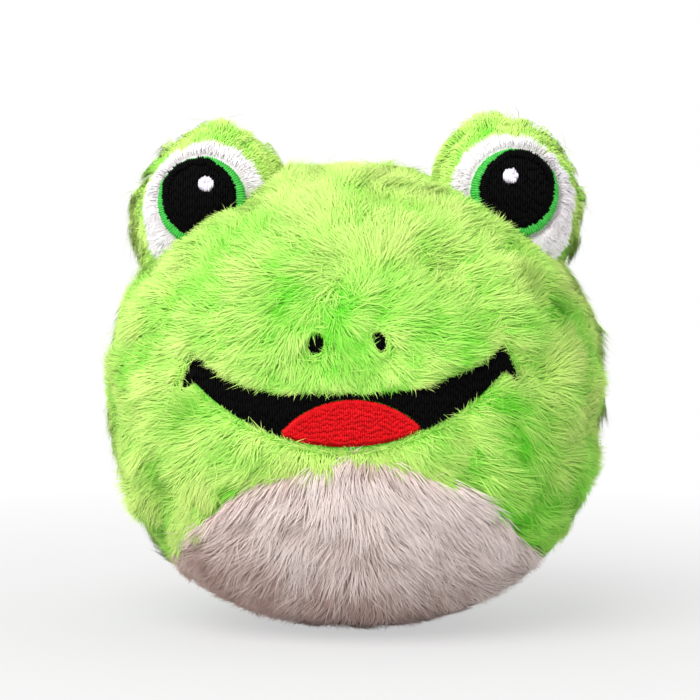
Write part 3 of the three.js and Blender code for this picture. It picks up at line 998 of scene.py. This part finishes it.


# Each spot is painted light or shade on the face's pile: a place in the front view, its size, and how
# much paler its pile is (painted light), or darker where that is negative (painted shade).
FACE_TINT, FRINGE_TINT, EDGE_PAINTED_LIGHT, FRINGE_HALF_WIDTH = 0.55, 0.35, 0.2, 22
PAINTED_LIGHT_AND_SHADE_SPOTS = ((-1, 55, 10, -0.3), (0, 90, 14, 0.35), (22, 31, 10, -0.4), (36, 16, 13, -0.4), (42, 47, 7, 0.15),
         (-39, 60, 4, -0.3), (-30, 20, 9, -0.12), (-11, 73, 6, -0.2), (16, 60, 7, -0.2), (-31, 46, 6, 0.15),
         (-20, 31, 5, -0.2), (41, 29, 5, -0.2), (33, 33, 11, -0.35), (-23, 73, 8, -0.12), (-40, 25, 7, 0.2),
         (-31, 36, 6, -0.1))


def face_tint_with_painted_light_and_shade(roots):
    """The face's pile is paler on the fringe by the belly. Beside the embroidery it is painted paler, as
    painted light over the shade where the stitching sinks, and in spots it is painted paler or darker, as
    painted light and shade.
    """
    fringe = np.exp(-(to_belly(roots) / 3) ** 2) * (abs(roots[:, 0]) < FRINGE_HALF_WIDTH)
    tint = FACE_TINT + FRINGE_TINT * fringe
    # Painted light: beside the embroidery the pile is painted paler, to lift the shade where the stitching
    # sinks the cloth.
    tint += EDGE_PAINTED_LIGHT * np.exp(-(np.clip(to_embroidery(roots), 0, None) / 1.5) ** 2)
    for across, up, size, change in PAINTED_LIGHT_AND_SHADE_SPOTS:
        away = np.linalg.norm(roots[:, [0, 2]] - (across, up), axis=1)
        tint += change * np.exp(-(away / size) ** 2)
    return tint


ball_pile("face_pile", FRONT_DENSITY, to_face_panel, face_parts, tint=face_tint_with_painted_light_and_shade, lifted=puffed)
for name, side in SIDES.items():
    ball_pile(f"{name}_back_pile", BACK_DENSITY, to_back_panel(side), back_parts, shag=BACK_SHAG)
ball_pile("belly_pile", BELLY_DENSITY, to_belly, belly_parts, BELLY_PILE, "white_plush", belly_painted_light_and_shade,
          bulging)

# %% [markdown]
# The mounds' green pile fans out from the eye and backwards. The white pile is short and fans out from
# the stitched rim.

# %% The mounds' pile
MOUND_PILE = Pile(5.0, 2.6, 0.08, tuft=2.2, pull=0.15, lock=3.0, lock_pull=0.2, unruly=0.4)
WHITE_PILE = Pile(2.2, 1.1, 0.09, tuft=1.2, pull=0.0, lock=3.0, lock_pull=0.0, unruly=0.3)
MOUND_DENSITY, MOUND_LIE, MOUND_TINT, MOUND_SPIKES = 14, 0.9, 0.85, 0.25
WHITE_DENSITY, WHITE_TINT, WHITE_SPIKES = 24, 0.68, 0.05


def lapped(name, side):
    """How far the green pile has spread over the outer edge of the white patch."""
    across, up = eye_middle(name)
    return lambda points: (np.clip((side * (points[:, 0] - across) - 6) / 5, 0, 1)
                           * np.clip((up + 2 - points[:, 2]) / 4, 0, 1))


def low_by_patch(name, side):
    """Beside the white patch the green pile is short, or it would hide the patch from the front. It puffs
    out on the outer side of the mound, and lies flat behind."""
    def shorten(roots, normals, ways, long):
        beside = np.clip(0.35 + to_patch(name)(roots) / 4, 0.35, 1)
        puffed_out = np.clip(0.85 + 0.4 * side * normals[:, 0], 0.55, 1.25)
        return beside * puffed_out * (1 - 0.35 * np.clip(2 * normals[:, 1], 0, 1)), 0.75
    return shorten


def inside_patch(name):
    """The white pile ends at the seam of its patch."""
    return lambda roots, normals, ways, long: (
        np.clip((0.4 + 0.3 * chance.random(len(roots)) - to_patch(name)(roots)) / long, 0.25, 1), 0.3)


def mound_pile(node, planting, comb, pile, shorten, tint, spiky, slot):
    """Pile on one piece of a mound's cloth."""
    roots, normals = planting
    middles, tips, width, tints = grow(
        roots, normals, comb(roots, normals), pile, MOUND_LIE, shorten, tint, spiky)
    hairs(f"{node}_pile", roots, middles, tips, normals, width, tints, slot)


for name, side in SIDES.items():
    mound, lap = mounds[name], lapped(name, side)
    green_ground = planted(mound, mound_depth, MOUND_DENSITY, lambda points: np.maximum(
        -to_patch(name)(points) - lap(points), beyond_ball(points)))
    mound_pile(f"{name}_eye_mound", green_ground, comb_from(eye_middle(name), backwards=0.4),
               MOUND_PILE, low_by_patch(name, side), MOUND_TINT, MOUND_SPIKES, "green_plush")
    roots, normals = planted(mound, patch_depth(name), WHITE_DENSITY, lambda points: np.maximum(
        to_patch(name)(points) + lap(points), beyond_ball(points)))
    off_the_rim = from_edge(eye_rims[name], roots[:, [0, 2]]) > 0.1
    mound_pile(f"{name}_eye_white", (roots[off_the_rim], normals[off_the_rim]),
               comb_from(eye_middle(name, PUPIL_PLACE)), WHITE_PILE, inside_patch(name), WHITE_TINT,
               WHITE_SPIKES, "eye_plush")

# %% [markdown]
# ## Embroidery
# A machine fills a shape with rows of short stitches, and borders it with satin stitch, whose threads
# lie side by side across the edge. Each stitch here is a slim rounded lozenge on the surface, planted
# like the hairs. The CAD node's plate stays under the stitches as their underlay.

# %% One stitch
def stitch_template():
    bm = bmesh.new()
    bmesh.ops.create_uvsphere(bm, u_segments=6, v_segments=5, radius=1)
    bmesh.ops.triangulate(bm, faces=bm.faces[:])
    return as_arrays(bm)


stitch_corners, stitch_faces = stitch_template()
print("one stitch:", len(stitch_corners), "corners,", len(stitch_faces), "faces")
THREAD_HALF, THREAD_RISE = 0.27, 0.2


def stitches(starts, ends, form, inset, rise):
    """Points of one stitch for each pair of spots in the front view."""
    a, b = form.front(starts, inset), form.front(ends, inset)
    middle, along = (a + b) / 2, (b - a) / 2
    up = form.outward(middle)
    side = unit(np.cross(up, along))
    length = np.linalg.norm(along, axis=1, keepdims=True)
    along = along * (1 + 0.2 * THREAD_HALF / length)
    rise = rise * chance.uniform(0.75, 1.25, (len(a), 1, 1))
    offsets = (stitch_corners[None, :, 2, None] * along[:, None]
               + stitch_corners[None, :, 0, None] * side[:, None] * THREAD_HALF
               + stitch_corners[None, :, 1, None] * up[:, None] * rise)
    return middle[:, None] + offsets


def underlay(node):
    """The CAD node's plate, with its corners joined, in millimetres."""
    bm = bmesh.new()
    bm.from_mesh(nodes[node].data)
    bmesh.ops.remove_doubles(bm, verts=bm.verts[:], dist=1e-6)
    bmesh.ops.triangulate(bm, faces=bm.faces[:])
    corners, faces = as_arrays(bm)
    return corners / MM, faces


def embroidery(node, laid, slot):
    """A piece of embroidery: its underlay and all its stitches."""
    corners, faces = underlay(node)
    threads = np.concatenate(laid)
    shift = len(corners)
    points = np.concatenate([corners, threads.reshape(-1, 3)])
    faces = np.concatenate([faces, copies(stitch_corners, stitch_faces, len(threads)) + shift])
    name = f"{node}_stitches"
    piece = finished(mesh_of(name, points, faces), name, thread_looks[slot])
    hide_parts(node)
    print(f"{piece.name}: {len(threads)} stitches, {len(faces)} faces")


# %% Filling and satin
SCAN_STEP, SHORTEST_ROW, SHORTEST_STITCH = 0.1, 0.3, 0.5


def fill_rows(inside, box, pitch, length, ragged=0.1):
    """Rows of stitches, up the shape, as pairs of spots. inside says which spots are in the shape."""
    (left, low), (right, high) = box
    starts, ends = [], []
    steps = np.arange(low, high, SCAN_STEP)
    for across in np.arange(left, right, pitch):
        spots = np.stack([np.full_like(steps, across), steps], 1)
        within = np.concatenate([[False], inside(spots), [False]])
        edges = np.flatnonzero(within[1:] != within[:-1])
        for begin, end in zip(edges[::2], edges[1::2]):
            a, b = low + begin * SCAN_STEP, low + end * SCAN_STEP
            if b - a < SHORTEST_ROW:
                continue
            a, b = a - chance.uniform(-0.3, 1) * ragged, b + chance.uniform(-0.3, 1) * ragged
            first = a + length * chance.random()
            cuts = np.arange(first, b, length)
            cuts = np.concatenate([[a], cuts + chance.uniform(-0.3, 0.3, len(cuts)) * length, [b]])
            cuts = cuts[np.concatenate([[True], np.diff(cuts) > SHORTEST_STITCH])]
            cuts[-1] = b
            for c, d in zip(cuts[:-1], cuts[1:]):
                starts.append((across, c))
                ends.append((across, d))
    return np.array(starts), np.array(ends)


def satin(inner, outer, ragged=0.15):
    """Stitches that cross a border, from a row of inner spots to a row of outer spots."""
    way = unit(outer - inner)
    shake = chance.uniform(-0.3, 1, (len(inner), 1)) * ragged
    return inner - way * shake, outer + way * shake[::-1]


# %% Mouth, tongue and nostrils
FACE_THREAD_INSET, ROW_PITCH, STITCH_LENGTH, TONGUE_BORDER, TONGUE_SLANT = 1.5, 0.46, 2.0, 0.9, 0.12
FINE_PITCH, FINE_LENGTH, ROWS_END = 0.42, 1.0, 29.4
MOUTH_BOX, TONGUE_BOX = ((-30, -11), (30, 7)), ((-13.2, -11), (13.2, -1))
NOSTRIL_REACH, NOSTRIL_LOW, NOSTRIL_HIGH = 2.2, 6, 11.5
TICK_STITCHES, TICK_WAY, TICK_HALF, TICK_SWELL = 20, (0.92, 0.38), 0.35, 0.5


def in_face(outline, margin=0.0):
    return lambda spots: from_edge(outline, spots) < -margin


def sewn_on_face(pairs, rise):
    return stitches(from_face(pairs[0]), from_face(pairs[1]), ball, FACE_THREAD_INSET, rise)


def open_mouth(spots):
    return ((from_edge(mouth, spots) < 0) & (from_edge(tongue, spots) > 0.05)
            & (abs(spots[:, 0]) < ROWS_END))


def tick(side):
    """Satin stitches across the bar at one corner of the mouth."""
    t = np.linspace(0.02, 0.98, TICK_STITCHES)[:, None]
    top, foot = np.array(MOUTH_TIP), np.array(MOUTH_TICK)
    middle = top + (foot - top) * t
    across = np.array(TICK_WAY) * (TICK_HALF + TICK_SWELL * np.sin(t * math.pi) ** 0.7)
    return satin((middle - across * (2 - t)) * (side, 1), (middle + across * 0.7) * (side, 1))


def tongue_border():
    """Pairs of spots slantwise across the border of the tongue's top."""
    inner, outer = (tongue_arc(gap, ease=0.02, steps=76) for gap in (TONGUE_BORDER, 0.0))
    return inner + (TONGUE_SLANT, 0), outer - (TONGUE_SLANT, 0)


embroidery("mouth", [
    sewn_on_face(fill_rows(open_mouth, MOUTH_BOX, ROW_PITCH, STITCH_LENGTH), rise=0.13),
    *(sewn_on_face(tick(side), rise=0.35) for side in SIDES.values()),
], "black_thread")
embroidery("tongue", [
    sewn_on_face(fill_rows(in_face(tongue, 0.5), TONGUE_BOX, FINE_PITCH, FINE_LENGTH, ragged=0.25),
                 rise=0.26),
    sewn_on_face(satin(*tongue_border()), rise=0.34),
], "red_thread")
for name, side in SIDES.items():
    across = side * NOSTRIL_SPACING / 2
    box = (across - NOSTRIL_REACH, NOSTRIL_LOW), (across + NOSTRIL_REACH, NOSTRIL_HIGH)
    rows = fill_rows(in_face(nostrils[name]), box, FINE_PITCH, 3.0, ragged=0.15)
    embroidery(f"{name}_nostril", [sewn_on_face(rows, rise=0.3)], "black_thread")

# %% Eyes
EYE_THREAD_INSET, BORDER, RIM_STITCHES = 1.1, 1.3, 110
RIM_LEAST, RIM_TAPER = 0.65, 0.35


def around(halves, place, name, count):
    return ellipse(eye_middle(name, place), halves, steps=count)


for name, side in SIDES.items():
    mound = mounds[name]
    sewn = lambda pairs, rise=THREAD_RISE: stitches(*pairs, mound, EYE_THREAD_INSET, rise)
    middle = eye_middle(name, PUPIL_PLACE)
    way = ellipse((0, 0), (1, 1), steps=RIM_STITCHES)
    off = eye_middle(name, RIM_PLACE) - middle
    reach = (way @ off) + np.sqrt((way @ off) ** 2 - off @ off + RIM_RADIUS ** 2)
    rim_edge = middle + way * reach[:, None]
    shown = reach - np.linalg.norm(around(PUPIL_HALVES, PUPIL_PLACE, name, RIM_STITCHES) - middle, axis=1)
    shown *= np.clip((shown - RIM_LEAST) / RIM_TAPER, 0, 1)
    pupil_edge = rim_edge - way * np.maximum(shown, 0.1)[:, None]
    sewn_rim = shown > 0.2
    rim = sewn(satin(pupil_edge[sewn_rim], rim_edge[sewn_rim], ragged=0.2), rise=0.3)
    embroidery(f"{name}_eye_rim", [rim], "green_thread")
    inner = pupil_edge - way * BORDER
    heart = around((HIGHLIGHT_RADIUS,) * 2, HIGHLIGHT_PLACE, name, 30)
    core = around(tuple(half - BORDER for half in PUPIL_HALVES), PUPIL_PLACE, name, 60)
    low, high = core.min(0) - 0.2, core.max(0) + 0.2
    fill = fill_rows(lambda spots: (from_edge(core, spots) < 0.2) & (from_edge(heart, spots) > 0),
                     (low, high), ROW_PITCH, STITCH_LENGTH)
    embroidery(f"{name}_pupil", [sewn(fill), sewn(satin(inner, pupil_edge, ragged=0.4), rise=0.42)],
               "black_thread")
    low, high = heart.min(0) - 0.1, heart.max(0) + 0.1
    blob = fill_rows(lambda spots: from_edge(heart, spots) < -0.1, (low, high), 0.36, 4.0, ragged=0.3)
    embroidery(f"{name}_highlight", [sewn(blob, rise=0.55)], "white_thread")

# %% [markdown]
# ## What can't be seen
# The filling is loose polyester fibre that packs into lumps. The back seam is closed by hand with
# ladder stitches, which sink into the pile.

# %% Fibre filling
FIBRE_INSET, FIBRE_FINENESS, FIBRE_FILL, LUMP_SIZE, LUMP_HEIGHT = 5.3, 5, 0.8, 9.0, 0.35
lumps = waves(LUMP_SIZE)
bm = form_mesh(ball, FIBRE_INSET, FIBRE_FINENESS)
points = places(bm.verts)
outside = ball.onto(points, 0)
depth = FIBRE_INSET + 0.5 + LUMP_HEIGHT * lumps(points)
move_to(bm.verts, outside - unit(outside - ball.middle) * depth[:, None])
piece = finished(mesh_from(bm, "body_fibre"), "body_fibre", fibre)
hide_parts("body_filling")
print(f"{piece.name}: {len(piece.data.polygons)} faces")

# %% Finishes for the solids that stay as the CAD made them
for node, material in (("left_eye_filling", fibre), ("right_eye_filling", fibre),
                       ("closing_seam_thread", thread_looks["green_thread"])):
    nodes[node].data.materials.clear()
    nodes[node].data.materials.append(material)

# %% [markdown]
# ## The studio
# The floor is white and fades into a white world, and keeps the frog's shadow. One big soft lamp hangs
# above and in front, as in a light tent.

# %% Floor
def stage_finish():
    finish = Finish("studio floor")
    place = finish.node("ShaderNodeTexCoord", None, None, 3)
    away = finish.node("ShaderNodeVectorMath", {"operation": "LENGTH"}, {0: place}, output=1)
    seen = finish.node("ShaderNodeLightPath")
    fade = finish.node("ShaderNodeMapRange", None, {"Value": away, "From Min": 0.05, "From Max": 0.25,
                                                    "To Min": 0.55, "To Max": 1.0})
    lit = finish.node("ShaderNodeBsdfDiffuse", None, {"Color": (0.6, 0.6, 0.6, 1)})
    white = finish.node("ShaderNodeEmission", None, {"Color": (1, 1, 1, 1), "Strength": 1.0})
    mixed = finish.node("ShaderNodeMixShader", None, {0: seen * fade, 1: lit, 2: white})
    finish.node("ShaderNodeOutputMaterial", None, {"Surface": mixed})
    return finish.material


FLOOR_RADIUS = 6
bm = bmesh.new()
bmesh.ops.create_circle(bm, cap_ends=True, segments=64, radius=FLOOR_RADIUS)
mesh = bpy.data.meshes.new("floor")
bm.to_mesh(mesh)
bm.free()
floor = bpy.data.objects.new("floor", mesh)
floor.data.materials.append(stage_finish())
bpy.context.scene.collection.objects.link(floor)

# %% World and lamp
TENT_BRIGHTNESS, BACKDROP_BRIGHTNESS = 0.66, 1.0
world = bpy.data.worlds.new("light tent")
bpy.context.scene.world = world
world.use_nodes = True
tree = world.node_tree
tree.nodes.clear()
path, mixer, out = (tree.nodes.new(kind) for kind in (
    "ShaderNodeLightPath", "ShaderNodeMixShader", "ShaderNodeOutputWorld"))
for place, brightness in ((1, TENT_BRIGHTNESS), (2, BACKDROP_BRIGHTNESS)):
    glow = tree.nodes.new("ShaderNodeBackground")
    glow.inputs["Color"].default_value = (1, 1, 1, 1)
    glow.inputs["Strength"].default_value = brightness
    tree.links.new(glow.outputs[0], mixer.inputs[place])
tree.links.new(path.outputs["Is Camera Ray"], mixer.inputs[0])
tree.links.new(mixer.outputs[0], out.inputs[0])

LAMP_PLACE, LAMP_TARGET, LAMP_SIZE, LAMP_POWER = (-0.38, -0.82, 0.8), (0, 0, 0.05), 0.9, 15.0
light = bpy.data.lights.new("soft box", "AREA")
light.size, light.energy = LAMP_SIZE, LAMP_POWER
lamp = bpy.data.objects.new("soft box", light)
lamp.location = LAMP_PLACE
lamp.rotation_euler = (Vector(LAMP_TARGET) - Vector(LAMP_PLACE)).to_track_quat("-Z", "Y").to_euler()
bpy.context.scene.collection.objects.link(lamp)

# %% Camera
CAMERA_TARGET, CAMERA_DISTANCE = Vector((-0.0011, 0, 0.055)), 0.65
CAMERA_ELEVATION, VIEW_WIDTH = math.radians(4), 0.14
camera_data = bpy.data.cameras.new("camera")
camera_data.sensor_width = 36
camera_data.lens = camera_data.sensor_width * CAMERA_DISTANCE / VIEW_WIDTH
camera = bpy.data.objects.new("camera", camera_data)
camera.location = CAMERA_TARGET + CAMERA_DISTANCE * Vector(
    (0, -math.cos(CAMERA_ELEVATION), math.sin(CAMERA_ELEVATION)))
camera.rotation_euler = (math.pi / 2 - CAMERA_ELEVATION, 0, 0)
bpy.context.scene.collection.objects.link(camera)
bpy.context.scene.camera = camera
bpy.context.scene.view_settings.view_transform = "Standard"
